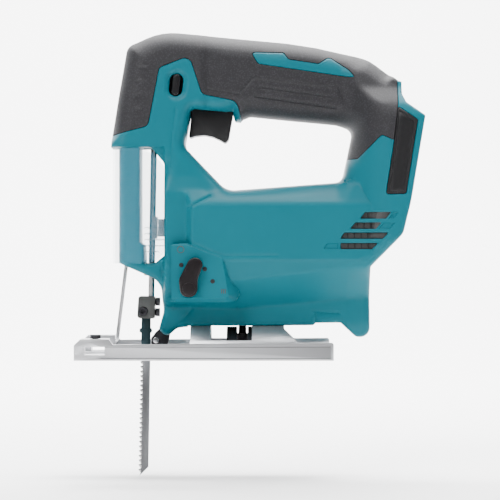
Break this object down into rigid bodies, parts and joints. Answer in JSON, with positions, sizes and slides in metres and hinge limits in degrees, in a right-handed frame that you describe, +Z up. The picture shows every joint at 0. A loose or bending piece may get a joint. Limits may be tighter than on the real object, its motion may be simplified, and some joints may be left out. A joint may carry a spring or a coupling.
{
  "type": "cordless jigsaw",
  "caption": "Cordless D-handle jigsaw with reciprocating T-shank blade, tilting cast shoe, orbit selector, trigger, sliding clear dust cover and battery interface.",
  "frame": {"origin": "on the sole plane, on the bevel axis, between the blade slot and the shoe's key hole", "axes": "+Z up from the sole to the handle, +X to the battery end, -X to the blade, Y across the tool"},
  "size_m": [0.2192, 0.076, 0.2837],
  "materials": {
    "teal_nylon": "moulded nylon with a fine texture",
    "soft_grip": "soft overmould, fine speckled grain",
    "dark_trim": "moulded plastic, satin",
    "zinc_screw": "zinc plated",
    "cast_alloy": "cast, fine blasted surface",
    "ground_steel": "ground and hardened",
    "motor_steel": "phosphated",
    "carbon_black": "sintered, dull",
    "bronze": "sintered bronze",
    "guard_wire": "drawn wire",
    "black_nylon": "moulded nylon",
    "lamp_lens": "clear lens",
    "board_green": "solder mask",
    "contact_brass": "plated contact",
    "black_oxide": "black oxide steel",
    "copper_bar": "turned copper",
    "holder_steel": "sintered steel, dark satin",
    "blade_steel": "rolled blade steel",
    "plum_nylon": "moulded nylon, dark plum",
    "clear_cover": "clear polycarbonate",
    "trigger_black": "moulded nylon, satin"
  },
  "bodies": {
    "housing": {"housing_left": "teal_nylon", "housing_right": "teal_nylon", "grip_left": "soft_grip", "grip_right": "soft_grip", "trim_panel_left": "dark_trim", "trim_panel_right": "dark_trim", "housing_screw_1": "zinc_screw", "housing_screw_2": "zinc_screw", "housing_screw_3": "zinc_screw", "housing_screw_4": "zinc_screw", "housing_screw_5": "zinc_screw", "housing_screw_6": "zinc_screw", "housing_screw_7": "zinc_screw", "housing_screw_8": "zinc_screw", "gear_case": "cast_alloy", "gear_spindle": "ground_steel", "front_bearing": "ground_steel", "rear_bearing": "ground_steel", "motor_can": "motor_steel", "field_magnet_left": "carbon_black", "field_magnet_right": "carbon_black", "brush_upper": "carbon_black", "brush_lower": "carbon_black", "plunger_guide_upper": "bronze", "plunger_guide_lower": "bronze", "finger_guard": "guard_wire", "switch_body": "black_nylon", "work_lamp": "lamp_lens", "control_board": "board_green", "terminal_block": "black_nylon", "terminal_plus": "contact_brass", "terminal_minus": "contact_brass", "shoe_bolt": "black_oxide", "arm_pivot_pin": "ground_steel"},
    "motor_rotor": {"armature_shaft": "ground_steel", "lamination_stack": "motor_steel", "commutator": "copper_bar", "cooling_fan": "black_nylon", "drive_pinion": "ground_steel"},
    "crank": {"crank_gear": "ground_steel", "crank_pin": "ground_steel"},
    "plunger": {"plunger_rod": "ground_steel", "plunger_yoke": "ground_steel", "blade_holder": "holder_steel", "clamp_bolt": "black_oxide", "holder_screw_upper": "black_oxide", "holder_screw_lower": "black_oxide", "saw_blade": "blade_steel"},
    "counterweight": {"counterweight": "holder_steel"},
    "roller_arm": {"roller_arm": "black_oxide", "roller_pin": "ground_steel"},
    "guide_roller": {"guide_roller": "ground_steel"},
    "orbit_selector": {"orbit_lever": "plum_nylon", "orbit_cam": "ground_steel"},
    "dust_cover": {"dust_cover": "clear_cover"},
    "trigger": {"trigger": "trigger_black"},
    "lock_button": {"lock_button": "trigger_black"},
    "clamp_plate": {"clamp_plate": "black_oxide"},
    "shoe": {"shoe": "cast_alloy", "fence_screw": "black_oxide"}
  },
  "joints": [
    {"name": "crank_turn", "type": "hinge", "parent": "housing", "child": "crank", "pos_m": [-0.009, 0, 0.0856], "axis": [1, 0, 0], "range_deg": [-75, 105]},
    {"name": "plunger_stroke", "type": "slide", "parent": "housing", "child": "plunger", "axis": [0.0175, 0, 0.9998], "range_m": [-0.0075, 0.0105]},
    {"name": "counterweight_stroke", "type": "slide", "parent": "housing", "child": "counterweight", "axis": [0, 0, 1], "range_m": [-0.0105, 0.0075]},
    {"name": "motor_spin", "type": "hinge", "parent": "housing", "child": "motor_rotor", "pos_m": [0.03, 0, 0.06], "axis": [1, 0, 0], "continuous": true},
    {"name": "roller_arm_swing", "type": "hinge", "parent": "housing", "child": "roller_arm", "pos_m": [-0.0225, 0, 0.033], "axis": [0, 1, 0], "range_deg": [-4, 0]},
    {"name": "guide_roller_spin", "type": "hinge", "parent": "roller_arm", "child": "guide_roller", "pos_m": [-0.0312, 0, 0.0114], "axis": [0, 1, 0], "continuous": true},
    {"name": "orbit_select", "type": "hinge", "parent": "housing", "child": "orbit_selector", "pos_m": [-0.0093, -0.031, 0.0447], "axis": [0, -1, 0], "range_deg": [-57, 31]},
    {"name": "dust_cover_slide", "type": "slide", "parent": "housing", "child": "dust_cover", "axis": [0, 0, 1], "range_m": [-0.024, 0]},
    {"name": "trigger_press", "type": "slide", "parent": "housing", "child": "trigger", "axis": [0, 0, 1], "range_m": [0, 0.006], "stiffness_N_per_m": 600, "springref_m": -0.003},
    {"name": "lock_off_push", "type": "slide", "parent": "housing", "child": "lock_button", "axis": [0, 1, 0], "range_m": [0, 0.0035]},
    {"name": "shoe_bevel", "type": "hinge", "parent": "housing", "child": "clamp_plate", "pos_m": [0.024, 0, 0], "axis": [1, 0, 0], "range_deg": [-45, 45]},
    {"name": "shoe_slide", "type": "slide", "parent": "clamp_plate", "child": "shoe", "axis": [1, 0, 0], "range_m": [0, 0.015]}
  ],
  "couplings": [
    {"joint": "plunger_stroke", "follows": "crank_turn", "m_per_rad": 0.0057295},
    {"joint": "counterweight_stroke", "follows": "crank_turn", "m_per_rad": -0.0057295},
    {"joint": "motor_spin", "follows": "crank_turn", "ratio": -7}
  ]
}
